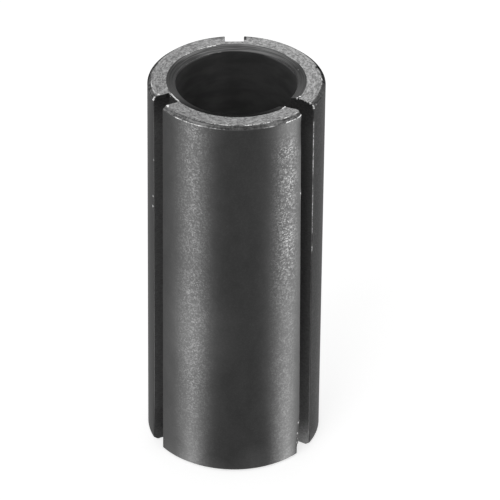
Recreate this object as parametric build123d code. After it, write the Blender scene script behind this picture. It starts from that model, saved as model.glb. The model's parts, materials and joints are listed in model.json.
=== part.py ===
"""Split reducing sleeve that lets a router collet hold a thinner shank.

A short steel tube, turned all over, then sawn lengthways three times. One cut goes right through the
wall and lets the tube close on the shank. Two grooves stop short of the bore and leave a web that bends
when the collet closes, so that the sleeve grips the shank evenly. It is one piece of metal.

The origin is the centre of the lower end face, +Z runs up the bore, and the split faces -Y.
Lengths are in millimetres and angles in degrees.
"""

from build123d import *
from math import cos, radians, sin, tan
import os

# The turned tube: 12 mm outside for the collet, and 8.2 mm inside for a shank of 8 mm
outer_diameter = 12.0
wall = 1.9
length = 28.2
rim_chamfer = 0.25
mouth_width = 0.58
mouth_included_angle = 120.0

# The saw cuts, each angle counted about +Z from +X
split_angle = -90.0
split_width = 1.25
groove_width = 1.3
side_groove_angle = split_angle - 115.8
side_groove_web = 0.70
rear_groove_angle = split_angle + 127.3
rear_groove_web = 0.92
cut_edge_break = 0.05

# How far a cutter runs past the metal, so that it leaves no skin
overrun = 1.0

outer_radius = outer_diameter / 2
bore_radius = outer_radius - wall
mouth_radius = bore_radius + mouth_width
mouth_depth = mouth_width / tan(radians(mouth_included_angle / 2))


def turned_tube():
    """The tube as it comes off the lathe: chamfered rims and a countersunk mouth at each end."""
    half_section = Polyline(
        (mouth_radius, 0),
        (outer_radius - rim_chamfer, 0),
        (outer_radius, rim_chamfer),
        (outer_radius, length - rim_chamfer),
        (outer_radius - rim_chamfer, length),
        (mouth_radius, length),
        (bore_radius, length - mouth_depth),
        (bore_radius, mouth_depth),
        close=True,
    )
    return revolve(Plane.XZ * make_face(half_section), Axis.Z)


def saw_cut(angle, width, floor_radius):
    """A straight cut along the whole tube at that angle, from floor_radius out through the rim."""
    depth = outer_radius + overrun - floor_radius
    cutter = Box(depth, width, length + 2 * overrun, align=(Align.MIN, Align.CENTER, Align.MIN))
    return Rot(0, 0, angle) * Pos(floor_radius, 0, -overrun) * cutter


def cut_edges(body, angle, width):
    """The two long edges that a saw cut leaves along the outside of the tube."""
    reach = (outer_radius**2 - (width / 2) ** 2) ** 0.5
    turn = radians(angle)
    corners = [
        (reach * cos(turn) - side * sin(turn), reach * sin(turn) + side * cos(turn))
        for side in (-width / 2, width / 2)
    ]
    middle = length / 2
    return [body.edges().sort_by_distance((x, y, middle))[0] for x, y in corners]


def reducer_sleeve():
    """The finished sleeve: the tube, its three saw cuts, and their outer edges broken."""
    cuts = [
        (split_angle, split_width, 0),
        (side_groove_angle, groove_width, bore_radius + side_groove_web),
        (rear_groove_angle, groove_width, bore_radius + rear_groove_web),
    ]
    body = turned_tube()
    for angle, width, floor_radius in cuts:
        body -= saw_cut(angle, width, floor_radius)
    edges = [edge for angle, width, _ in cuts for edge in cut_edges(body, angle, width)]
    return chamfer(edges, cut_edge_break)


os.makedirs("parts", exist_ok=True)
export_step(reducer_sleeve(), "parts/reducer_sleeve.step")
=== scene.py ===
import json
from math import asin, atan, cos, radians, sin, sqrt, tan

import bpy
import numpy as np
from mathutils import Euler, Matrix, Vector, noise


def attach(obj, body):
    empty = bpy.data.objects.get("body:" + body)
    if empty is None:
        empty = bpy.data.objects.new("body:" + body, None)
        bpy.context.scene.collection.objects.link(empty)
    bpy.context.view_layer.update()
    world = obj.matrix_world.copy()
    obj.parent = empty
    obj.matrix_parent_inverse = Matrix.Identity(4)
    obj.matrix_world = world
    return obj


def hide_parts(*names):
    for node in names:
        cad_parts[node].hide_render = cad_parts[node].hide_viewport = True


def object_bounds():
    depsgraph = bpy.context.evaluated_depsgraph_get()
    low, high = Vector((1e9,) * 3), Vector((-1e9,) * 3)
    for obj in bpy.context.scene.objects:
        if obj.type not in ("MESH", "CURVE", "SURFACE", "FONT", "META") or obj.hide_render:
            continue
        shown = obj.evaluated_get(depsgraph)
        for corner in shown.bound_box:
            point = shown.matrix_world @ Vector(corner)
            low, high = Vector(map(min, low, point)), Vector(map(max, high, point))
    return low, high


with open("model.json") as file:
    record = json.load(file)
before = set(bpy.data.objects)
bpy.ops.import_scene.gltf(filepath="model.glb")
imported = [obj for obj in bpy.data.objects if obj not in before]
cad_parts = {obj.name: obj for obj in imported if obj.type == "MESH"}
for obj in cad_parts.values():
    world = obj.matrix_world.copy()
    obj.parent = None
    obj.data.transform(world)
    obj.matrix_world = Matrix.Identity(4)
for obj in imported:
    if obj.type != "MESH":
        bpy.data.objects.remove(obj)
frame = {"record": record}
cad_low, cad_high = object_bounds()

# Shapes are worked out in millimetres, and metres come last. Angles count about +Z from +X.
MM = 0.001

# The sleeve's main sizes, read from the frame
mount_sizes = {mount["name"]: mount["dims"] for mount in frame["record"]["mounts"]}
OUTER_RADIUS = (cad_high.x - cad_low.x) / 2 / MM
LENGTH = (cad_high.z - cad_low.z) / MM
BORE_RADIUS = mount_sizes["shank_bore"]["r_mm"]

# The turned ends
RIM_WIDTH = 0.26
RIM_HEIGHT = 0.22
MOUTH_WIDTH = 0.61
MOUTH_DEPTH = 0.21
MOUTH_SLOPE = atan(MOUTH_DEPTH / MOUTH_WIDTH)
MOUTH_RADIUS = BORE_RADIUS + MOUTH_WIDTH
RIM_ROUNDING = 0.03
MOUTH_ROUNDING = 0.02

# How far the edges between the cuts and the outside are broken
EDGE_BREAK = 0.05

# From foot to top the split's angle falls by the one and its width grows by the other
SPLIT_LEAN = radians(3.3)
SPLIT_TAPER = 0.15

# The saw cuts: angle, width, and the floor's radius. The split's angle and width are those at mid-height.
SPLIT = {"angle": radians(-89.7), "width": 1.29, "floor": None}
REAR_GROOVE = {"angle": radians(37.3), "width": 1.3, "floor": 5.02}
SIDE_GROOVE = {"angle": radians(154.2), "width": 1.3, "floor": 4.80}

# The finishes, in the order of the sleeve's material slots
SIDE, RIM, END, MOUTH, SAWN, BORE = range(6)

# Spacing of the mesh along the arcs and up the side, and its distances from an edge
ARC_STEP = 0.13
ROW_STEP = 0.30
BESIDE_AN_EDGE = (0.02, 0.08, 0.20, 0.40)

# Shares at which the mesh cuts a groove's wall, the slopes of the rim and the mouth, and the ends
DOWN_A_WALL = (1.0, 0.95, 0.8, 0.55, 0.25)
ALONG_A_SLOPE = (0.08, 0.36, 0.64, 0.92)
ACROSS_AN_END = (0.01, 0.05, 0.15, 0.3, 0.5, 0.7, 0.85, 0.95, 0.99)
FLOOR_STOPS = 9

# Where two faces meet more steeply than this, the edge between them is drawn sharp
SHARP_ANGLE = radians(40)


def with_edges(steps, total):
    """Fractions from 0 to 1 of a stretch of that length: close together beside both ends, even between."""
    start = [0.0, *BESIDE_AN_EDGE]
    middle = np.linspace(start[-1], total - start[-1], steps + 1)[1:-1]
    stop = [total - s for s in reversed(start)]
    return [s / total for s in (*start, *middle, *stop)]


# A stop of the outline: ("arc", cut before, cut after, share), or ("wall" or "floor", cut, side, share)


def arc_stops(before, after):
    """Stops along the outside from one cut to the next."""
    turn = (after["angle"] - before["angle"]) % radians(360)
    span = OUTER_RADIUS * turn - before["width"] / 2 - after["width"] / 2
    steps = round(span / ARC_STEP)
    return [("arc", before, after, share) for share in with_edges(steps, span)]


def groove_stops(groove):
    """Stops down one wall of a groove, over its floor and up the other wall."""
    stops = [("wall", groove, -1, rise) for rise in DOWN_A_WALL]
    stops += [("floor", groove, side, 0.0) for side in np.linspace(-1, 1, FLOOR_STOPS)]
    return stops + [("wall", groove, 1, rise) for rise in reversed(DOWN_A_WALL)]


def sleeve_stops():
    """Every stop round the sleeve's outline, from one side of the split to the other."""
    return [
        ("wall", SPLIT, 1, 1.0),
        *arc_stops(SPLIT, REAR_GROOVE),
        *groove_stops(REAR_GROOVE),
        *arc_stops(REAR_GROOVE, SIDE_GROOVE),
        *groove_stops(SIDE_GROOVE),
        *arc_stops(SIDE_GROOVE, SPLIT),
        ("wall", SPLIT, -1, 1.0),
    ]


def cut_angle(cut, height):
    """The angle of a cut at that height: only the split leans."""
    lean = SPLIT_LEAN * (0.5 - height / LENGTH) if cut is SPLIT else 0.0
    return cut["angle"] + lean


def half_width(cut, height):
    """Half the width of a cut at that height: only the split widens."""
    wider = SPLIT_TAPER * (height / LENGTH - 0.5) if cut is SPLIT else 0.0
    return (cut["width"] + wider) / 2


def in_cut(cut, height, across, out):
    """The point that lies that far across a cut and out from the axis, at that height."""
    turn = cut_angle(cut, height)
    return (out * cos(turn) - across * sin(turn), out * sin(turn) + across * cos(turn))


def outer_point(stop, radius, height):
    """Where a stop of the outline lies when the outside has that radius."""
    kind, cut, other, share = stop
    if kind == "arc":
        reach = [asin((half_width(c, height) + EDGE_BREAK) / radius) for c in (cut, other)]
        start = cut_angle(cut, height) + reach[0]
        turn = (cut_angle(other, height) - cut_angle(cut, height)) % radians(360) - sum(reach)
        return (radius * cos(start + share * turn), radius * sin(start + share * turn))
    half = half_width(cut, height)
    if kind == "floor":
        return in_cut(cut, height, other * half, cut["floor"])
    top = sqrt(radius**2 - half**2) - EDGE_BREAK
    low = cut["floor"] or top
    return in_cut(cut, height, other * half, low + share * (top - low))


# How far round the bore from a groove's middle the tops of its walls and its floor's corners are carried
WALL_TOP_TURN = radians(10.5)
FLOOR_CORNER_TURN = radians(8.1)


def inner_point(stop, radius, height):
    """Where the same stop lies on the bore or its mouth, of that radius."""
    kind, cut, other, share = stop

    def edge(c):
        """How far round from a cut's middle its wall meets the bore."""
        if c is SPLIT:
            return asin(half_width(c, height) / radius) + EDGE_BREAK / radius
        return WALL_TOP_TURN + EDGE_BREAK / radius

    if kind == "arc":
        start = cut_angle(cut, height) + edge(cut)
        apart = (cut_angle(other, height) - cut_angle(cut, height)) % radians(360)
        turn = start + share * (apart - edge(cut) - edge(other))
    elif cut is SPLIT:
        turn = cut_angle(cut, height) + other * asin(half_width(cut, height) / radius)
    elif kind == "floor":
        turn = cut["angle"] + other * FLOOR_CORNER_TURN
    else:
        turn = cut["angle"] + other * (FLOOR_CORNER_TURN + share * (WALL_TOP_TURN - FLOOR_CORNER_TURN))
    return (radius * cos(turn), radius * sin(turn))


def rounded_corner(corner, before, after, rounding):
    """Three points that round a corner, given the directions from it along its two sides."""
    corner, before, after = (np.array(v, float) for v in (corner, before, after))
    half_turn = np.arccos(np.clip(-before @ after, -1, 1)) / 2
    inward = (before + after) / np.linalg.norm(before + after)
    depth = rounding / tan(half_turn) * (1 / cos(half_turn) - 1)
    return [corner + rounding * before, corner + depth * inward, corner + rounding * after]


def end_rows():
    """Rows of the outside and of the bore near one end, each as (radius, height above the end)."""
    slope = atan(RIM_HEIGHT / RIM_WIDTH)
    slant = (cos(slope), sin(slope))
    cone = (-cos(MOUTH_SLOPE), sin(MOUTH_SLOPE))
    rim_top = (OUTER_RADIUS - RIM_WIDTH, 0)
    rim_foot = (OUTER_RADIUS, RIM_HEIGHT)
    lip = (MOUTH_RADIUS, 0)
    throat = (BORE_RADIUS, MOUTH_DEPTH)
    outer = rounded_corner(rim_top, (-1, 0), slant, RIM_ROUNDING)
    inner = rounded_corner(lip, (1, 0), cone, MOUTH_ROUNDING)
    outer_next = rounded_corner(rim_foot, (-slant[0], -slant[1]), (0, 1), RIM_ROUNDING)
    inner_next = rounded_corner(throat, (-cone[0], -cone[1]), (0, 1), MOUTH_ROUNDING)
    for share in ALONG_A_SLOPE:
        outer.append(outer[2] + share * (outer_next[0] - outer[2]))
        inner.append(inner[2] + share * (inner_next[0] - inner[2]))
    outer += outer_next
    inner += inner_next
    for above in BESIDE_AN_EDGE:
        outer.append(np.array((OUTER_RADIUS, RIM_HEIGHT + RIM_ROUNDING + above)))
        inner.append(np.array((BORE_RADIUS, MOUTH_DEPTH + MOUTH_ROUNDING + above)))
    return outer, inner


# How strongly wear shows in each row of a rounded edge
ROUNDED_WEAR = (0.5, 1.0, 0.5)

# The row of an end in which the slope's second rounding starts. The slope's finish goes to the middle of it.
SECOND_ROUNDING = len(ROUNDED_WEAR) + len(ALONG_A_SLOPE)
SLOPE_ROWS = SECOND_ROUNDING + 1


def edge_rows(first, second):
    """The rows of an end that lie on its two rounded edges, and how strongly wear shows in each."""
    rows = {k: (first, strength) for k, strength in enumerate(ROUNDED_WEAR)}
    rows.update({SECOND_ROUNDING + k: (second, strength) for k, strength in enumerate(ROUNDED_WEAR)})
    return rows


OUTER_EDGE_ROWS = edge_rows("rim_top", "rim_foot")
INNER_EDGE_ROWS = edge_rows("lip", "throat")

# How strongly wear shows on the corners between the outside and the cuts
CORNER_WEAR = 0.8

# How worn each kind of edge is all along
EVEN_WEAR = {"rim_top": 0.25, "rim_foot": 0.12, "lip": 0.12, "throat": 0.05, "corner": 0.05}

# Stretches of the upper end's edges that are worn more or less: from and to how many degrees, and how much
WORN_STRETCHES = (
    ("rim_top", 112, 143, 0.35),
    ("rim_top", 161, 163, 1.4),
    ("rim_top", 48, 100, -0.5),
    ("rim_top", 336, 386, -0.5),
    ("rim_top", 222, 231, 0.9),
    ("rim_top", 235, 238, 0.8),
    ("rim_top", 196, 201, 0.5),
    ("rim_top", 205, 214, 0.7),
    ("rim_top", 250, 260, 0.8),
    ("rim_top", 300, 318, 0.2),
    ("rim_top", 306.8, 309.0, 1.6),
    ("rim_foot", 172.8, 176.5, 1.5),
    ("rim_foot", 176.5, 182.6, 1.0),
    ("rim_foot", 183.5, 188, 0.5),
    ("rim_foot", 189.6, 192, 0.8),
    ("rim_foot", 193, 203, 0.1),
    ("rim_foot", 234, 240, 0.3),
    ("rim_foot", 296, 318, -0.5),
    ("rim_foot", 250, 263, 2.4),
    ("lip", 53.5, 69.5, 1.7),
    ("lip", 70, 84, 0.5),
    ("lip", 86, 132, -0.3),
    ("lip", 148, 160.5, 1.5),
    ("lip", 255.5, 262.5, 2.2),
    ("lip", 338, 350, 0.4),
    ("throat", 50, 92, 0.15),
)

# Corners of the cuts that are worn more or less: the cut, its side, between which heights, and how much
WORN_CORNERS = (
    (SPLIT, 1, 0.0, 27.6, -1.5),
    (SPLIT, 1, 22.5, 26.8, 3.0),
    (SPLIT, 1, 17.9, 22.0, 2.6),
    (SPLIT, 1, 16.45, 16.9, 2.9),
    (SPLIT, -1, 0.8, 3.4, 0.6),
    (SPLIT, -1, 21.7, 22.0, 1.6),
    (SIDE_GROOVE, -1, 0.0, 27.6, -1.0),
)

# How softly the worn stretches end, in degrees, and the worn corners, in millimetres
STRETCH_FADE = 0.9
CORNER_FADE = 0.3

# How patchy the wear of an edge is: its mean, its least, and the strength and fineness of each noise in it
PATCHY_MEAN = 0.75
PATCHY_LEAST = 0.3
PATCHY_NOISES = ((1.1, 1.7), (0.5, 5.0))

# Worn spots, or stains where the wear is negative: degrees, radius, depth below the top, reach, wear, lift
WORN_SPOTS = (
    # Burrs round the top of the side groove, and along the lip of its web
    (145.9, 5.53, 0.02, 0.11, 1.6, 0.01),
    (147.6, 5.98, 0.20, 0.12, 1.4, 0.06),
    (147.0, 5.90, 0.10, 0.11, 0.9, 0.04),
    (149.0, 4.87, 0.02, 0.08, 2.0, 0.03),
    (149.6, 4.86, 0.14, 0.08, 1.6, 0.03),
    (150.6, 4.74, 0.00, 0.06, 0.9, 0.01),
    (152.4, 4.74, 0.00, 0.05, 0.7, 0.00),
    (154.2, 4.74, 0.00, 0.06, 0.9, 0.01),
    (156.0, 4.74, 0.00, 0.05, 0.6, 0.00),
    (157.8, 4.74, 0.00, 0.06, 0.8, 0.00),
    (161.2, 5.62, 0.02, 0.10, 2.2, 0.02),
    (162.6, 5.70, 0.04, 0.09, 2.0, 0.02),
    # Burrs along the lip, just before the split
    (256.8, 4.68, 0.00, 0.06, 0.8, 0.04),
    (258.2, 4.67, 0.00, 0.06, 1.0, 0.05),
    (259.5, 4.68, 0.00, 0.07, 1.6, 0.07),
    (260.7, 4.70, 0.00, 0.07, 2.2, 0.08),
    (261.6, 4.78, 0.00, 0.07, 2.2, 0.08),
    (261.9, 4.90, 0.00, 0.07, 1.8, 0.05),
    # Stains on both sides of the rear groove
    (30.5, 5.66, 0.00, 0.17, -1.8, 0.00),
    (30.0, 5.50, 0.00, 0.16, -1.5, 0.00),
    (29.8, 5.34, 0.00, 0.13, -1.1, 0.00),
    (25.0, 5.66, 0.00, 0.34, -0.32, 0.00),
    (45.0, 5.62, 0.00, 0.36, -0.26, 0.00),
    (47.6, 5.62, 0.00, 0.36, -0.20, 0.00),
    (50.2, 5.62, 0.00, 0.36, -0.20, 0.00),
    (53.0, 5.64, 0.00, 0.34, -0.18, 0.00),
    (56.0, 5.66, 0.00, 0.32, -0.15, 0.00),
    # Burrs and one pit along the end's edge, just past the split
    (277.4, 4.60, 0.04, 0.10, 2.2, 0.05),
    (280.2, 4.70, 0.02, 0.10, 2.0, 0.05),
    (276.1, 4.82, 0.02, 0.10, 1.8, 0.04),
    (278.6, 4.76, 0.02, 0.08, -1.5, -0.04),
    (275.6, 5.22, 0.02, 0.10, 1.5, 0.02),
    (275.6, 5.45, 0.02, 0.10, 1.0, 0.02),
    (275.5, 5.66, 0.02, 0.12, 1.8, 0.02),
    (274.9, 5.95, 0.12, 0.16, 2.2, 0.02),
    (275.4, 5.99, 0.30, 0.12, 1.4, 0.01),
    (278.8, 5.99, 0.19, 0.08, 0.7, 0.02),
    # A speck in the mouth and a pit in the rim
    (326.0, 4.46, 0.14, 0.09, 0.5, 0.00),
    (323.4, 5.72, 0.02, 0.17, -3.0, -0.08),
    # Nicks down the corners of the side groove and the split
    (147.8, 6.00, 4.99, 0.10, 1.0, 0.03),
    (147.1, 6.00, 7.92, 0.10, 1.6, 0.03),
    (147.0, 6.00, 8.73, 0.12, 1.8, 0.03),
    (262.3, 6.00, 6.35, 0.08, 0.9, 0.02),
    # Bright nicks up the chipped corner at the split's foot
    (264.6, 5.98, 25.4, 0.13, 0.9, 0.02),
    (263.7, 5.98, 26.3, 0.12, 0.9, 0.02),
    (263.1, 5.98, 26.5, 0.08, 0.7, 0.00),
    (264.0, 5.94, 26.8, 0.10, 0.9, 0.02),
    (263.1, 5.98, 27.05, 0.09, 0.9, 0.00),
    (264.1, 5.92, 27.3, 0.12, 1.0, 0.02),
    (263.4, 5.96, 27.5, 0.08, 0.7, 0.00),
)

# Places pushed out of shape: degrees, radius, height, reach, which way and how far up, and by how much
PUSHES = (
    (262.5, 5.45, 28.2, 0.56, -1.65, 0, 0.19),
    (262.3, 5.99, 27.98, 0.26, 0, 90, 0.10),
    (264.2, 5.99, 27.3, 0.50, 95, 0, 0.05),
    (264.4, 5.99, 26.6, 0.50, 95, 0, 0.05),
    (264.6, 5.99, 25.9, 0.50, 95, 0, 0.03),
)

# Chips: a point of the flat as degrees, radius and height, which way and how far up it faces, and its reach
CHIPS = (
    (265.2, 5.99, 3.0, 287, -3, 0.60),
    (264.7, 5.99, 2.3, 287, -3, 0.60),
    (264.1, 5.99, 1.6, 287, -3, 0.60),
    (263.6, 5.99, 1.0, 287, -3, 0.60),
    (263.2, 5.99, 0.3, 302, 0, 0.62),
)


def all_rows():
    """Rows from the foot to the top: (outer radius, outer height, inner radius, inner height)."""
    outer, inner = end_rows()
    first = [(o[0], o[1], i[0], i[1]) for o, i in zip(outer, inner)]
    last = [(o, LENGTH - oh, i, LENGTH - ih) for o, oh, i, ih in reversed(first)]
    steps = round((LENGTH - 2 * first[-1][1]) / ROW_STEP)
    shares = np.linspace(0, 1, steps + 1)[1:-1]
    middle = [tuple(np.array(first[-1]) * (1 - s) + np.array(last[0]) * s) for s in shares]
    return first + middle + last


class Skin:
    """The points and faces of one closed mesh, with the edge that each point lies on and each face's finish.

    An edge is its name, how strongly wear shows there, and the cut and side of the corner, if it is one.
    """

    def __init__(self):
        self.points, self.edges, self.faces, self.finishes = [], [], [], []

    def add(self, x, y, z, edge=None):
        """Adds a point and gives its number."""
        self.points.append((x, y, z))
        self.edges.append(edge)
        return len(self.points) - 1

    def between(self, a, b):
        """Adds the points that lie between two others across an end."""
        start, stop = np.array(self.points[a]), np.array(self.points[b])
        return [self.add(*(start + share * (stop - start))) for share in ACROSS_AN_END]

    def cover(self, grid, finish, flip=False):
        """Faces between the neighbours of a grid of points. The finish may be a rule of row and column."""
        for i, (a, b) in enumerate(zip(grid, grid[1:])):
            for j in range(len(a) - 1):
                face = (a[j], a[j + 1], b[j + 1], b[j])
                self.faces.append(face[::-1] if flip else face)
                self.finishes.append(finish(i, j) if callable(finish) else finish)


def place(turn, radius, height):
    """The point at that angle in degrees, radius and height."""
    return np.array((radius * cos(radians(turn)), radius * sin(radians(turn)), height))


def pointing(turn, rise):
    """The direction at that angle about the axis and that far up, both in degrees."""
    turn, rise = radians(turn), radians(rise)
    return np.array((cos(turn) * cos(rise), sin(turn) * cos(rise), sin(rise)))


def nearness(points, centre, reach):
    """1 at the centre, falling off smoothly over the reach."""
    return np.exp(-2 * np.sum((points - centre) ** 2, axis=1) / reach**2)


def soft_step(value, low, high, softness):
    """1 between low and high, falling to 0 within the softness outside them."""
    outside = np.maximum(low - value, value - high)
    return np.clip(1 - outside / softness, 0, 1)


def stretch_wear(name, turn):
    """The wear that the stretches add to that edge of the upper end, at that angle in degrees."""
    total = 0
    for edge, low, high, more in WORN_STRETCHES:
        if edge == name:
            beside = turn + 360 if high > 360 and turn < 180 else turn
            total += more * soft_step(beside, low, high, STRETCH_FADE)
    return total


def corner_wear(corner, height):
    """The wear that is added to that corner of a cut at that height."""
    total = 0
    for cut, side, low, high, more in WORN_CORNERS:
        if corner[0] is cut and corner[1] == side:
            total += more * soft_step(height, low, high, CORNER_FADE)
    return total


def patchiness(point):
    """How much of an edge's wear shows at that point."""
    noises = (strength * noise.noise(Vector(point) * fineness) for strength, fineness in PATCHY_NOISES)
    return max(PATCHY_MEAN + sum(noises), PATCHY_LEAST)


def edge_wear(skin, points):
    """How bright each point of an edge is rubbed, and 0 off the edges. Thick oxide is negative."""
    turn = np.degrees(np.arctan2(points[:, 1], points[:, 0])) % 360
    height = points[:, 2]
    wear = np.zeros(len(points))
    for i, edge in enumerate(skin.edges):
        if not edge:
            continue
        name, strength, corner = edge
        amount = EVEN_WEAR[name]
        if height[i] > LENGTH / 2:
            amount += stretch_wear(name, turn[i])
        if corner:
            amount += corner_wear(corner, height[i])
        patchy = patchiness(points[i]) if amount > 0 else 1
        wear[i] = strength * amount * patchy
    return wear


def raise_burrs(points, normals):
    """Raises the worn spots that stand out of the surface. Their brightness is the finishes' part."""
    raised = points.copy()
    for turn, radius, depth, reach, _, lift in WORN_SPOTS:
        near = nearness(points, place(turn, radius, LENGTH - depth), reach)
        raised += normals * (lift * near)[:, None]
    return raised


def bend(points):
    """Pushes the metal out of shape at its bent places."""
    for turn, radius, height, reach, facing, rise, amount in PUSHES:
        near = nearness(points, place(turn, radius, height), reach)
        points += (amount * near)[:, None] * pointing(facing, rise)
    return points


def knock_off(points):
    """Presses the points that stand beyond each chip's flat back onto it."""
    for turn, radius, height, facing, rise, reach in CHIPS:
        normal = pointing(facing, rise)
        apart = points - place(turn, radius, height)
        beyond = np.clip(apart @ normal, 0, None)
        near = np.linalg.norm(apart, axis=1) < reach
        points -= np.where(near, beyond, 0)[:, None] * normal
    return points


def outer_edge(stop, from_end):
    """The edge that a stop of the outside lies on, that many rows from an end, if it lies on one."""
    kind, before, after, share = stop
    if kind != "arc":
        return None
    corner = (before, 1) if share == 0 else (after, -1) if share == 1 else None
    name, strength = OUTER_EDGE_ROWS.get(from_end, (None, 0))
    if name:
        return name, strength, corner
    return ("corner", CORNER_WEAR, corner) if corner else None


def inner_edge(from_end):
    """The edge that the stops of the bore lie on, that many rows from an end, if they lie on one."""
    name, strength = INNER_EDGE_ROWS.get(from_end, (None, 0))
    return (name, strength, None) if name else None


def add_rows(skin, stops, rows):
    """Adds the points of the outside and of the bore, a row of each for every height."""
    outer, inner = [], []
    for k, (outer_radius, outer_height, inner_radius, inner_height) in enumerate(rows):
        from_end = min(k, len(rows) - 1 - k)
        outer.append([])
        inner.append([])
        for stop in stops:
            x, y = outer_point(stop, outer_radius, outer_height)
            outer[k].append(skin.add(x, y, outer_height, outer_edge(stop, from_end)))
            x, y = inner_point(stop, inner_radius, inner_height)
            inner[k].append(skin.add(x, y, inner_height, inner_edge(from_end)))
    return outer, inner


def cover_sides(skin, stops, outer, inner):
    """Covers the outside, the walls and floors of the grooves, and the bore."""
    last = len(outer) - 2

    def side_finish(k, i):
        if stops[i][0] == stops[i + 1][0] == "arc":
            return RIM if min(k, last - k) < SLOPE_ROWS else SIDE
        return SAWN

    def bore_finish(k, _):
        return MOUTH if min(k, last - k) < SLOPE_ROWS else BORE

    skin.cover(outer, side_finish)
    skin.cover(inner, bore_finish, flip=True)


def cover_ends(skin, outer, inner):
    """Covers both ends, and gives the points added across them, by row."""
    across = {}
    for row, flip in ((0, False), (len(outer) - 1, True)):
        across[row] = [skin.between(a, b) for a, b in zip(inner[row], outer[row])]
        grid = [[a, *between, b] for a, between, b in zip(inner[row], across[row], outer[row])]
        skin.cover(grid, END, flip)
    return across


def cover_split(skin, outer, inner, across):
    """Covers the split's two walls, which share their first and last points with the ends."""
    for i, flip in ((0, True), (-1, False)):
        wall = []
        for k in range(len(outer)):
            a, b = inner[k][i], outer[k][i]
            between = across[k][i] if k in across else skin.between(a, b)
            wall.append([a, *between, b])
        skin.cover(wall, SAWN, flip)


def sleeve_skin():
    """The sleeve as points and faces, before it is worn."""
    skin, stops = Skin(), sleeve_stops()
    outer, inner = add_rows(skin, stops, all_rows())
    cover_sides(skin, stops, outer, inner)
    across = cover_ends(skin, outer, inner)
    cover_split(skin, outer, inner, across)
    return skin


def sleeve_mesh():
    """The worn sleeve as one closed mesh, with the wear of its edges in an attribute."""
    skin = sleeve_skin()
    mesh = bpy.data.meshes.new("sleeve")
    mesh.from_pydata([tuple(c * MM for c in point) for point in skin.points], [], skin.faces)
    mesh.update()
    points = np.array(skin.points)
    wear = edge_wear(skin, points)
    normals = np.zeros(3 * len(points))
    mesh.vertex_normals.foreach_get("vector", normals)
    points = raise_burrs(points, normals.reshape(-1, 3))
    points = knock_off(bend(points))
    mesh.vertices.foreach_set("co", (points * MM).ravel())
    mesh.polygons.foreach_set("material_index", skin.finishes)
    mesh.polygons.foreach_set("use_smooth", [True] * len(skin.faces))
    mesh.attributes.new("wear", "FLOAT", "POINT").data.foreach_set("value", wear)
    mesh.set_sharp_from_angle(angle=SHARP_ANGLE)
    mesh.validate()
    mesh.update()
    return mesh


def grey(value):
    """The colour that reflects that share of the light."""
    return (value, value, value, 1)


class Nodes:
    """A tree of nodes, built a node at a time."""

    def __init__(self, tree):
        self.nodes = tree.nodes
        self.links = tree.links

    def feed(self, socket, value):
        """Sets an input to a number or colour, or links it to another node's output."""
        if isinstance(value, bpy.types.NodeSocket):
            self.links.new(value, socket)
        else:
            socket.default_value = value

    def math(self, operation, a, b=0.0):
        """The result of that operation on one or two values."""
        made = self.nodes.new("ShaderNodeMath")
        made.operation = operation
        self.feed(made.inputs[0], a)
        self.feed(made.inputs[1], b)
        return made.outputs[0]

    def plus(self, a, b):
        return self.math("ADD", a, b)

    def times(self, a, b):
        return self.math("MULTIPLY", a, b)

    def spread(self, value, low, high, to_low=0.0, to_high=1.0):
        """Maps low..high to to_low..to_high and clips there."""
        made = self.nodes.new("ShaderNodeMapRange")
        self.feed(made.inputs["Value"], value)
        self.feed(made.inputs["From Min"], low)
        self.feed(made.inputs["From Max"], high)
        self.feed(made.inputs["To Min"], to_low)
        self.feed(made.inputs["To Max"], to_high)
        return made.outputs[0]

    def seen_or_mirrored(self):
        """1 for the camera's rays, reflections and refractions, 0 for the light that falls on things."""
        path = self.nodes.new("ShaderNodeLightPath")
        seen = self.math("MAXIMUM", path.outputs["Is Camera Ray"], path.outputs["Is Glossy Ray"])
        return self.math("MAXIMUM", seen, path.outputs["Is Transmission Ray"])


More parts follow.
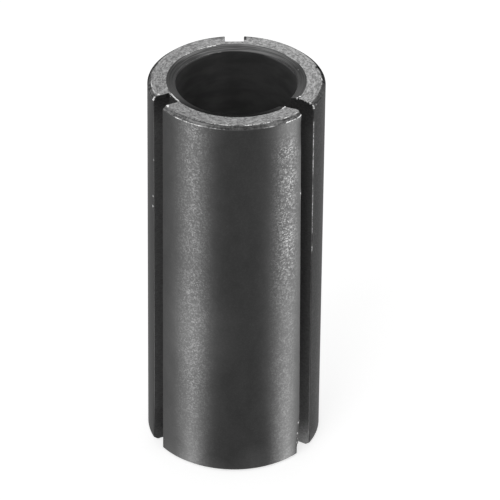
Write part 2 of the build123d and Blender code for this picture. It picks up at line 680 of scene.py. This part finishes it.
class Shader(Nodes):
    """The nodes of a new material. Sizes and places are given in millimetres, and angles in degrees."""

    def __init__(self, name):
        self.material = bpy.data.materials.new(name)
        self.material.use_nodes = True
        super().__init__(self.material.node_tree)
        self.nodes.clear()
        self.out = self.nodes.new("ShaderNodeOutputMaterial")
        self.place = self.nodes.new("ShaderNodeTexCoord").outputs["Object"]

    def stretched(self, across, up):
        """The object's own coordinates, divided by a grain size across the axis and one along it."""
        made = self.nodes.new("ShaderNodeMapping")
        self.feed(made.inputs["Vector"], self.place)
        made.inputs["Scale"].default_value = tuple(1 / (MM * size) for size in (across, across, up))
        return made.outputs[0]

    def round_the_axis(self, turn, up, out):
        """Coordinates that run round the axis, up it and out from it, each divided by a grain size."""
        split = self.nodes.new("ShaderNodeSeparateXYZ")
        self.feed(split.inputs[0], self.place)
        x, y, z = split.outputs
        reach = self.math("SQRT", self.plus(self.times(x, x), self.times(y, y)))
        # A direction from the axis times a fixed radius, so that the grain has no seam
        scale = OUTER_RADIUS / turn
        made = self.nodes.new("ShaderNodeCombineXYZ")
        self.feed(made.inputs[0], self.times(self.math("DIVIDE", x, reach), scale))
        self.feed(made.inputs[1], self.times(self.math("DIVIDE", y, reach), scale))
        rise = self.math("DIVIDE", z, MM * up)
        self.feed(made.inputs[2], self.plus(rise, self.math("DIVIDE", reach, MM * out)))
        return made.outputs[0]

    def above(self):
        """The height above the foot."""
        split = self.nodes.new("ShaderNodeSeparateXYZ")
        self.feed(split.inputs[0], self.place)
        return self.math("DIVIDE", split.outputs[2], MM)

    def side(self, turn, low, high, to_low=0.0, to_high=1.0):
        """Maps how far a point lies from the axis in a direction, as a share of the lip's radius."""
        made = self.nodes.new("ShaderNodeVectorMath")
        made.operation = "DOT_PRODUCT"
        self.feed(made.inputs[0], self.place)
        x, y, _ = place(turn, 1, 0)
        made.inputs[1].default_value = (x / (MOUTH_RADIUS * MM), y / (MOUTH_RADIUS * MM), 0)
        return self.spread(made.outputs["Value"], low, high, to_low, to_high)

    def band(self, turn, full, gone, radius=OUTER_RADIUS):
        """1 within full degrees of a direction and 0 beyond gone, on the surface of that radius."""
        edge = radius / MOUTH_RADIUS
        return self.side(turn, edge * cos(radians(gone)), edge * cos(radians(full)))

    def around(self, centre, near, far, inside, outside):
        """One number within the near distance of a place, and another beyond the far one."""
        made = self.nodes.new("ShaderNodeVectorMath")
        made.operation = "DISTANCE"
        self.feed(made.inputs[0], self.place)
        made.inputs[1].default_value = tuple(centre * MM)
        return self.spread(made.outputs["Value"], near * MM, far * MM, inside, outside)

    def specks(self, size):
        """A random number from 0 to 1 for each speck of about that size."""
        made = self.nodes.new("ShaderNodeTexVoronoi")
        self.feed(made.inputs["Vector"], self.stretched(size, size))
        made.inputs["Scale"].default_value = 1.0
        split = self.nodes.new("ShaderNodeSeparateColor")
        self.links.new(made.outputs["Color"], split.inputs[0])
        return split.outputs[0]

    def grain(self, coords, detail, roughness, distortion=0.0):
        """Noise with a grain of about 1 in those coordinates."""
        made = self.nodes.new("ShaderNodeTexNoise")
        self.feed(made.inputs["Vector"], coords)
        made.inputs["Scale"].default_value = 1.0
        made.inputs["Detail"].default_value = detail
        made.inputs["Roughness"].default_value = roughness
        made.inputs["Distortion"].default_value = distortion
        return made.outputs["Fac"]

    def mixed(self, a, b, share):
        """Two patterns as one, with that share of the first."""
        return self.plus(self.times(a, share), self.times(b, 1 - share))

    def blend(self, share, a, b):
        """A colour or number between a and b."""
        colored = any(isinstance(v, tuple) or getattr(v, "type", "") == "RGBA" for v in (a, b))
        kind = "Color" if colored else "Float"
        made = self.nodes.new("ShaderNodeMix")
        made.data_type = "RGBA" if colored else "FLOAT"
        inputs = {socket.identifier: socket for socket in made.inputs}
        outputs = {socket.identifier: socket for socket in made.outputs}
        self.feed(inputs["Factor_Float"], share)
        self.feed(inputs["A_" + kind], a)
        self.feed(inputs["B_" + kind], b)
        return outputs["Result_" + kind]

    def toned(self, pattern, low, high, dark, light):
        """A grey that runs from dark to light while the pattern runs from low to high."""
        return self.blend(self.spread(pattern, low, high), grey(dark), grey(light))

    def attribute(self, name):
        """A number that the mesh holds for each point."""
        made = self.nodes.new("ShaderNodeAttribute")
        made.attribute_name = name
        return made.outputs["Fac"]

    def bump(self, pattern, height):
        """A bump of that height where the pattern is 1."""
        made = self.nodes.new("ShaderNodeBump")
        made.inputs["Distance"].default_value = height * MM
        self.feed(made.inputs["Height"], pattern)
        return made.outputs["Normal"]

    def glow(self, strength):
        """A surface that only shines."""
        made = self.nodes.new("ShaderNodeEmission")
        self.feed(made.inputs["Strength"], strength)
        return made.outputs[0]

    def metal(self, color, roughness, normal, metallic=1.0, edge_tint=1.0):
        """Makes the material a metal, or partly one, duller at a glance where the edge tint is below 1."""
        made = self.nodes.new("ShaderNodeBsdfPrincipled")
        made.inputs["Metallic"].default_value = metallic
        made.inputs["Specular Tint"].default_value = grey(edge_tint)
        self.feed(made.inputs["Base Color"], color)
        self.feed(made.inputs["Roughness"], roughness)
        self.feed(made.inputs["Normal"], normal)
        return self.finish(made.outputs[0])

    def finish(self, surface):
        """Gives the material that surface."""
        self.links.new(surface, self.out.inputs["Surface"])
        return self.material


# Edges and spots rubbed to the metal, the oxide where it is thickest, and the near-black and roughness of
# the mouth's painted shade
BARE_STEEL = grey(0.90)
BARE_ROUGHNESS = 0.55
THICK_OXIDE = grey(0.02)
SHADE_BLACK = grey(0.004)
SHADED_ROUGHNESS = 0.85

# The patches in which wear shows, how wear becomes bare steel and thick oxide, and the full part of a spot
WEAR_PATCH = 0.12
PATCHY_WEAR = (0.38, 0.62, 0.2, 1.7)
WEAR_TO_STEEL = (0.08, 1.0)
WEAR_TO_OXIDE = (-0.05, -0.6)
SPOT_CORE = 0.15


def with_wear(shader, color, roughness):
    """Bare steel where an edge or a spot is rubbed, and thick black oxide where the wear is negative."""
    wear = shader.attribute("wear")
    for turn, radius, depth, reach, amount, _ in WORN_SPOTS:
        centre = place(turn, radius, LENGTH - depth)
        wear = shader.plus(wear, shader.around(centre, SPOT_CORE * reach, reach, amount, 0.0))
    patches = shader.grain(shader.stretched(WEAR_PATCH, WEAR_PATCH), detail=3, roughness=0.7)
    rub = shader.times(wear, shader.spread(patches, *PATCHY_WEAR))
    rub = shader.spread(rub, *WEAR_TO_STEEL)
    color = shader.blend(shader.spread(wear, *WEAR_TO_OXIDE), color, THICK_OXIDE)
    return shader.blend(rub, color, BARE_STEEL), shader.blend(rub, roughness, BARE_ROUGHNESS)


# Strips of scuffing on the outside, laid where the highlights fall so that their mottled grain gives the
# highlights painted glints: the middle, and how far each side of it they are full and gone, in degrees
RIGHT_SCUFF_GLINTS = (249.5, 4, 12)
LEFT_SCUFF_GLINTS = (187, 3, 15)
FLANK_SCUFF_GLINTS = (284, 5, 12)

# How dense the scuffing and its painted glints are along a strip: from and to which height, and how dense at
# both
RIGHT_BELOW = (5.0, 9.0, 0.30, 0.42)
RIGHT_MIDDLE = (13.0, 16.5)
RIGHT_TOP = (27.2, 25.8, 0.1, 1.0)
LEFT_DENSITY = (1.0, 9.0, 0.2, 0.55)
FLANK_DENSITY = 0.4


def scuff_and_glint_density(shader, height):
    """How dense the outside's scuffing is, with the painted glints it gives the highlights."""
    right = shader.blend(shader.spread(height, *RIGHT_MIDDLE), shader.spread(height, *RIGHT_BELOW), 1.0)
    right = shader.times(right, shader.spread(height, *RIGHT_TOP))
    right = shader.times(shader.band(*RIGHT_SCUFF_GLINTS), right)
    left = shader.times(shader.band(*LEFT_SCUFF_GLINTS), shader.spread(height, *LEFT_DENSITY))
    flank = shader.times(shader.band(*FLANK_SCUFF_GLINTS), FLANK_DENSITY)
    return shader.plus(shader.plus(left, right), flank)


# Painted highlights and painted light reflected from the floor on the outside, where its colour is
# lightened: degrees, height, where the lightening starts to fade and ends, and its gain
PAINTED_HIGHLIGHTS = (
    (279, 0.0, 0.5, 1.3, 1.7),
    (190, 11.3, 1.0, 4.2, 1.28),
    (171, 0.1, 0.3, 1.4, 1.35),
    (204, 0.1, 0.3, 1.2, 1.55),
    (230, 0.4, 0.3, 1.9, 1.60),
)

# The outside's roughness off the strips of scuffing
SIDE_ROUGHNESS = 0.35

# The outside's grain: its size, the specks' size and share, and how it becomes dark and light mottling
FINE_GRAIN = 0.10
SPECK_SIZE = 0.09
SPECK_SHARE = 0.65
MOTTLE = (0.24, 0.85, -0.8, 1.15)
MOTTLE_SLOPE = 0.87
MOTTLE_CURVE = 0.44

# How strongly the mottling shows off the scuffing and in it, where it gives the highlights painted glints,
# and how much smoother it makes the scuffing
PLAIN_MOTTLING = 0.06
SCUFF_GLINT_MOTTLING = 0.55
SCUFF_POLISH = -0.10

# Clouds of unlike density: their size across and up, and what they do to the grey and to the scuffing with
# its painted glints
CLOUD_SIZE = (1.2, 2.0)
CLOUD_GREYS = (0.35, 0.65, 0.083, 0.095)
CLOUD_SCUFF_GLINTS = (0.38, 0.58, 0.8, 1.15)


def ground_side():
    """The outside: ground, under a dark oxide, mottled in strips of scuffing that lie where the highlights
    fall and give them painted glints, and lightened in a few places as painted highlights and painted
    reflected light.
    """
    shader = Shader("ground_side")
    fine = shader.grain(shader.stretched(FINE_GRAIN, FINE_GRAIN), detail=2, roughness=0.6)
    cloud = shader.grain(shader.stretched(*CLOUD_SIZE), detail=3, roughness=0.6)
    scuff_and_glint = shader.times(scuff_and_glint_density(shader, shader.above()), shader.spread(cloud, *CLOUD_SCUFF_GLINTS))
    mottle = shader.spread(shader.mixed(shader.specks(SPECK_SIZE), fine, SPECK_SHARE), *MOTTLE)
    mottle = shader.times(mottle, shader.plus(shader.times(mottle, MOTTLE_CURVE), MOTTLE_SLOPE))
    # In the strips the mottling is strong enough to give the highlights painted glints
    strength = shader.plus(shader.times(scuff_and_glint, SCUFF_GLINT_MOTTLING), PLAIN_MOTTLING)
    lighter = shader.plus(shader.times(mottle, strength), 1.0)
    color = shader.times(shader.spread(cloud, *CLOUD_GREYS), lighter)
    # Painted highlights: the colour is lightened round each place
    for turn, height, near, far, gain in PAINTED_HIGHLIGHTS:
        centre = place(turn, OUTER_RADIUS, height)
        color = shader.times(color, shader.around(centre, near, far, gain, 1.0))
    roughness = shader.plus(shader.times(shader.times(mottle, scuff_and_glint), SCUFF_POLISH), SIDE_ROUGHNESS)
    color, roughness = with_wear(shader, color, roughness)
    return shader.metal(color, roughness, shader.bump(fine, height=0.004))


# A grain size so long that the grain doesn't change in that direction
ENDLESS = 1000

# Tones: from and to which value of its pattern a grey changes, and the greys there
# The rim's two tones are a shaded and a lit copy of one grey, for painted shade and painted light
RIM_SHADED = (0.42, 0.60, 0.036, 0.130)
RIM_LIT = (0.42, 0.60, 0.060, 0.240)
END_DULL = (0.42, 0.58, 0.095, 0.27)
END_CLEAR = (0.42, 0.58, 0.135, 0.36)
MOUTH_PLAIN = (0.42, 0.58, 0.026, 0.046)
# The mouth's bright tone is painted light, for its lit side
MOUTH_LIT = (0.42, 0.58, 0.058, 0.168)
BORE_PLAIN = (0.38, 0.62, 0.090, 0.122)
WALL_PLAIN = (0.35, 0.65, 0.11, 0.16)
# The walls' darkest tone is painted shade
WALL_SHADED = (0.40, 0.60, 0.02, 0.05)
# Their brightest tone is painted light reflected from the floor
WALL_FLOOR_LIT = (0.30, 0.70, 0.20, 0.42)

# The mouth's roughness off its painted shade, and how the end's changes with its pattern
MOUTH_ROUGHNESS = 0.36
END_ROUGHNESS = (0.4, 0.6, 0.46, 0.36)

# Sides: a direction, the shares of the lip's radius that way between which it changes, and other amounts
# Painted light on the rims towards the first direction and at the two places, and painted shade away from
# them
RIM_LIT_SIDE = (60, -0.95, 0.55)
RIM_LIT_PLACES = ((256, 1.14, 1.22), (177, 1.14, 1.22))
CLEAR_END = (350, -1.0, 1.0)
# Painted light on the mouth towards the first direction, and painted shade towards the next two, half
# towards the second and full towards the third
MOUTH_LIT_SIDE = (40, 0.30, 0.80)
MOUTH_HALF_SHADED = (142, 0.50, 0.90, 0.0, 0.40)
MOUTH_SHADED_PART = (212, 0.45, 0.88)
# Painted shade at the foot of the side groove's walls, towards this direction
SHADED_GROOVE_FOOT = (154, 0.5, 0.8)


def turned_rim():
    """The chamfers of the rims: rings and blotches, with painted light on one side and at two places, and
    painted shade on the other side.
    """
    shader = Shader("turned_rim")
    rings = shader.grain(shader.round_the_axis(turn=2.0, up=0.07, out=ENDLESS), detail=2, roughness=0.6)
    blotch = shader.grain(shader.stretched(0.22, 0.22), detail=3, roughness=0.7)
    mixed = shader.mixed(rings, blotch, 0.5)
    light = shader.side(*RIM_LIT_SIDE)
    # Painted light at two places of the rim, on top of the lit side
    for rubbed in RIM_LIT_PLACES:
        light = shader.math("MAXIMUM", light, shader.side(*rubbed))
    color = shader.blend(light, shader.toned(mixed, *RIM_SHADED), shader.toned(mixed, *RIM_LIT))
    color, roughness = with_wear(shader, color, roughness=0.36)
    return shader.metal(color, roughness, shader.bump(mixed, height=0.014), edge_tint=0.28)


def faced_end():
    """The end faces: marks round the axis and blotches, clearer on one side."""
    shader = Shader("faced_end")
    turning = shader.grain(shader.round_the_axis(turn=0.45, up=ENDLESS, out=0.10), detail=3, roughness=0.65)
    blotch = shader.grain(shader.stretched(0.20, 0.20), detail=4, roughness=0.7, distortion=0.8)
    mixed = shader.mixed(turning, blotch, 0.45)
    clear = shader.side(*CLEAR_END)
    color = shader.blend(clear, shader.toned(mixed, *END_DULL), shader.toned(mixed, *END_CLEAR))
    color, roughness = with_wear(shader, color, shader.spread(mixed, *END_ROUGHNESS))
    return shader.metal(color, roughness, shader.bump(mixed, height=0.018))


def turned_mouth():
    """The mouths of the bore: rings, with painted light on one side and painted shade, half and full, on two
    others.
    """
    shader = Shader("turned_mouth")
    rings = shader.grain(shader.round_the_axis(turn=4.0, up=ENDLESS, out=0.075), detail=2, roughness=0.6)
    lit_part = shader.side(*MOUTH_LIT_SIDE)
    color = shader.blend(lit_part, shader.toned(rings, *MOUTH_PLAIN), shader.toned(rings, *MOUTH_LIT))
    # Painted shade on two sides of the mouth
    color = shader.blend(shader.side(*MOUTH_HALF_SHADED), color, SHADE_BLACK)
    shaded_part = shader.side(*MOUTH_SHADED_PART)
    color = shader.blend(shaded_part, color, SHADE_BLACK)
    color, roughness = with_wear(shader, color, shader.blend(shaded_part, MOUTH_ROUGHNESS, SHADED_ROUGHNESS))
    return shader.metal(color, roughness, shader.bump(rings, height=0.012))


# Where the bore is darker under its mouth: degrees, where that starts to fade and ends, and the share left
SHADED_BORE = (32, 1.0, 5.0, 0.66)

# Painted highlights on the bore's top: where they are, how far round they are full and gone, and how deep
# they end and are full
THROAT_HIGHLIGHTS = (84, -16)
HIGHLIGHT_TURN = (8, 26)
HIGHLIGHT_DEPTHS = (0.18, 0.08)
HIGHLIGHT_GREY = grey(0.25)


def drilled_bore():
    """The bore: soft rings, with painted shade in one place near the top and painted highlights in two."""
    shader = Shader("drilled_bore")
    rings = shader.grain(shader.round_the_axis(turn=2.5, up=0.6, out=ENDLESS), detail=2, roughness=0.5)
    turn, near, far, share = SHADED_BORE
    shade = shader.around(place(turn, BORE_RADIUS, LENGTH), near, far, share, 1.0)
    color = shader.times(shader.toned(rings, *BORE_PLAIN), shade)
    ends, starts = (LENGTH - MOUTH_DEPTH - depth for depth in HIGHLIGHT_DEPTHS)
    top = shader.spread(shader.above(), ends, starts)
    for turn in THROAT_HIGHLIGHTS:
        bright = shader.times(shader.band(turn, *HIGHLIGHT_TURN, BORE_RADIUS), top)
        color = shader.blend(bright, color, HIGHLIGHT_GREY)
    color, roughness = with_wear(shader, color, roughness=0.45)
    return shader.metal(color, roughness, shader.bump(rings, height=0.002), metallic=0.4)


# Where the cuts' walls get painted shade: how deep, and how high above the foot, that starts and is full
WALL_SHADE_DEPTHS = (2.5, 0.2)
WALL_SHADE_HEIGHTS = (3.0, 0.2)

# Where they get painted light reflected from the floor at the foot: degrees, and where that starts to fade
# and ends
FLOOR_LIT_FOOT = (276, 0.6, 2.2)


def sawn_wall():
    """The walls and floors of the cuts: fine marks, with painted shade at the top and one foot, and painted
    light reflected from the floor at another foot.
    """
    shader = Shader("sawn_wall")
    marks = shader.grain(shader.stretched(across=0.2, up=0.1), detail=4, roughness=0.6)
    height = shader.above()
    top = shader.spread(height, *(LENGTH - depth for depth in WALL_SHADE_DEPTHS))
    foot = shader.times(shader.spread(height, *WALL_SHADE_HEIGHTS), shader.side(*SHADED_GROOVE_FOOT))
    shaded_wall = shader.math("MAXIMUM", top, foot)
    color = shader.blend(shaded_wall, shader.toned(marks, *WALL_PLAIN), shader.toned(marks, *WALL_SHADED))
    turn, near, far = FLOOR_LIT_FOOT
    floor_lit = shader.around(place(turn, OUTER_RADIUS, 0), near, far, 1.0, 0.0)
    color = shader.blend(floor_lit, color, shader.toned(marks, *WALL_FLOOR_LIT))
    color, roughness = with_wear(shader, color, roughness=0.5)
    return shader.metal(color, roughness, shader.bump(marks, height=0.006), metallic=0.4)


def add_sleeve():
    """The dressed sleeve, in place of the solid."""
    sleeve = bpy.data.objects.new("reducer_sleeve_finish", sleeve_mesh())
    bpy.context.collection.objects.link(sleeve)
    for finish in (ground_side, turned_rim, faced_end, turned_mouth, sawn_wall, drilled_bore):
        sleeve.data.materials.append(finish())
    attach(sleeve, "root")
    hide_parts("reducer_sleeve")


# The floor, in metres, how far it is lifted towards white where it is seen, and how bright the world lights
FLOOR_SIZE = 3.0
FLOOR_COLOR = grey(0.75)
FLOOR_LIFT = 0.68
WORLD_LIGHT = 0.40


def add_floor():
    """A pale floor, lifted towards white where the camera or a mirror sees it."""
    bpy.ops.mesh.primitive_plane_add(size=FLOOR_SIZE)
    floor = bpy.context.object
    floor.name = "floor"
    shader = Shader("pale_floor")
    matt = shader.nodes.new("ShaderNodeBsdfDiffuse")
    matt.inputs["Color"].default_value = FLOOR_COLOR
    lift = shader.glow(shader.times(shader.seen_or_mirrored(), FLOOR_LIFT))
    both = shader.nodes.new("ShaderNodeAddShader")
    shader.links.new(matt.outputs[0], both.inputs[0])
    shader.links.new(lift, both.inputs[1])
    floor.data.materials.append(shader.finish(both.outputs[0]))


def add_world():
    """A white world, which lights things less than it shows."""
    world = bpy.data.worlds.new("studio")
    world.use_nodes = True
    bpy.context.scene.world = world
    tree = Nodes(world.node_tree)
    background = tree.nodes["Background"]
    background.inputs["Color"].default_value = grey(1)
    tree.feed(background.inputs["Strength"], tree.spread(tree.seen_or_mirrored(), 0, 1, WORLD_LIGHT, 1))


def direction(azimuth, elevation):
    """The direction at that azimuth, counted about +Z from -Y, and elevation, both in radians."""
    return Vector((sin(azimuth) * cos(elevation), -cos(azimuth) * cos(elevation), sin(elevation)))


# The camera, as fitted to the photograph: its distance and direction, and its turn from dead centre
CAMERA_DISTANCE = 326.0
CAMERA_AZIMUTH = radians(-54.4)
CAMERA_ELEVATION = radians(33.63)
CAMERA_PITCH = 0.00104
CAMERA_YAW = -0.00317
CAMERA_ROLL = -0.00902
SENSOR_WIDTH = 36.0
LENS = 341.07

# The nearest and the farthest that it sees, in metres
CAMERA_CLIP = (0.01, 10)

# Soft boxes: azimuth from the camera, elevation, then distance, width and height in metres, and watts
SOFT_BOXES = {
    "key_box": (-30, 36, 0.50, 0.30, 0.30, 0.50),
    "back_box": (180, 36, 0.40, 0.26, 0.16, 0.09),
}


def add_lights():
    """Soft boxes, hidden from the camera, that face the sleeve's foot."""
    for name, (turn, rise, distance, width, height, watts) in SOFT_BOXES.items():
        data = bpy.data.lights.new(name, "AREA")
        data.shape = "RECTANGLE"
        data.size = width
        data.size_y = height
        data.energy = watts
        lamp = bpy.data.objects.new(name, data)
        bpy.context.collection.objects.link(lamp)
        away = direction(CAMERA_AZIMUTH + radians(turn), radians(rise))
        lamp.location = away * distance
        lamp.rotation_euler = (-away).to_track_quat("-Z", "Y").to_euler()
        lamp.visible_camera = False


# The card that the sleeve's side mirrors: how bright it is at its foot and from its full reach on
CARD_LEVEL = (0.37, 0.33)
CARD_FULL_REACH = 32

# Its bright bands: azimuth from the camera, spread, and how much brighter at the foot and farther out
CARD_BANDS = (
    (-59, 12.0, 2.5, 2.75),
    (-97, 12.0, 0.48, 0.25),
    (76.5, 11.5, 3.2, 3.7),
)

# The distances of its rows from the sleeve, its height, and the turn from one column to the next
CARD_REACHES = (0.1, 1, 2, 4, 7, 11, 16, 23, 32, 45, 60, 80, 110)
CARD_HEIGHT = 0.01
CARD_STEP = 1.5


def card_level(azimuth, reach):
    """How bright the card is at that azimuth from the camera, in degrees, and that far from the sleeve."""
    far = min(reach / CARD_FULL_REACH, 1)
    level = CARD_LEVEL[0] + far * (CARD_LEVEL[1] - CARD_LEVEL[0])
    for centre, spread, at_foot, farther in CARD_BANDS:
        apart = (azimuth - centre + 180) % 360 - 180
        level += (at_foot + far * (farther - at_foot)) * np.exp(-((apart / spread) ** 2) / 2)
    return level


def card_mesh():
    """A ring of floor in columns, each along the floor that one upright line of the side mirrors."""
    turns = np.arange(CARD_STEP / 2 - 90, 90, CARD_STEP)
    points, glow = [], []
    for turn in turns:
        start, away = CAMERA_AZIMUTH + radians(turn), CAMERA_AZIMUTH + 2 * radians(turn)
        for reach in CARD_REACHES:
            x = OUTER_RADIUS * sin(start) + reach * sin(away)
            y = -OUTER_RADIUS * cos(start) - reach * cos(away)
            points.append((x * MM, y * MM, CARD_HEIGHT * MM))
            glow.append(card_level(2 * turn, reach))
    faces = []
    for i in range(len(turns)):
        a, b = i * len(CARD_REACHES), (i + 1) % len(turns) * len(CARD_REACHES)
        faces += [(a + j, a + j + 1, b + j + 1, b + j) for j in range(len(CARD_REACHES) - 1)]
    mesh = bpy.data.meshes.new("mirror_card")
    mesh.from_pydata(points, [], faces)
    mesh.attributes.new("glow", "FLOAT", "POINT").data.foreach_set("value", glow)
    return mesh


def add_mirror_card():
    """A card that only reflections show, so that each band is an even stripe up the sleeve."""
    card = bpy.data.objects.new("mirror_card", card_mesh())
    bpy.context.collection.objects.link(card)
    shader = Shader("mirror_card")
    card.data.materials.append(shader.finish(shader.glow(shader.attribute("glow"))))
    card.visible_camera = False
    card.visible_diffuse = False
    card.visible_shadow = False
    card.visible_transmission = False
    card.visible_volume_scatter = False


def add_camera():
    """The camera, aimed at the sleeve's middle and then turned in its own axes."""
    data = bpy.data.cameras.new("camera")
    data.sensor_width = SENSOR_WIDTH
    data.lens = LENS
    data.clip_start, data.clip_end = CAMERA_CLIP
    camera = bpy.data.objects.new("camera", data)
    bpy.context.collection.objects.link(camera)
    back = direction(CAMERA_AZIMUTH, CAMERA_ELEVATION)
    camera.location = Vector((0, 0, LENGTH / 2 * MM)) + back * CAMERA_DISTANCE * MM
    aim = (-back).to_track_quat("-Z", "Y").to_matrix()
    for turn in ((0, CAMERA_YAW, 0), (CAMERA_PITCH, 0, 0), (0, 0, -CAMERA_ROLL)):
        aim = aim @ Euler(turn).to_matrix()
    camera.rotation_euler = aim.to_euler()
    bpy.context.scene.camera = camera


add_sleeve()
add_floor()
add_world()
add_lights()
add_mirror_card()
add_camera()
bpy.context.scene.view_settings.view_transform = "Standard"
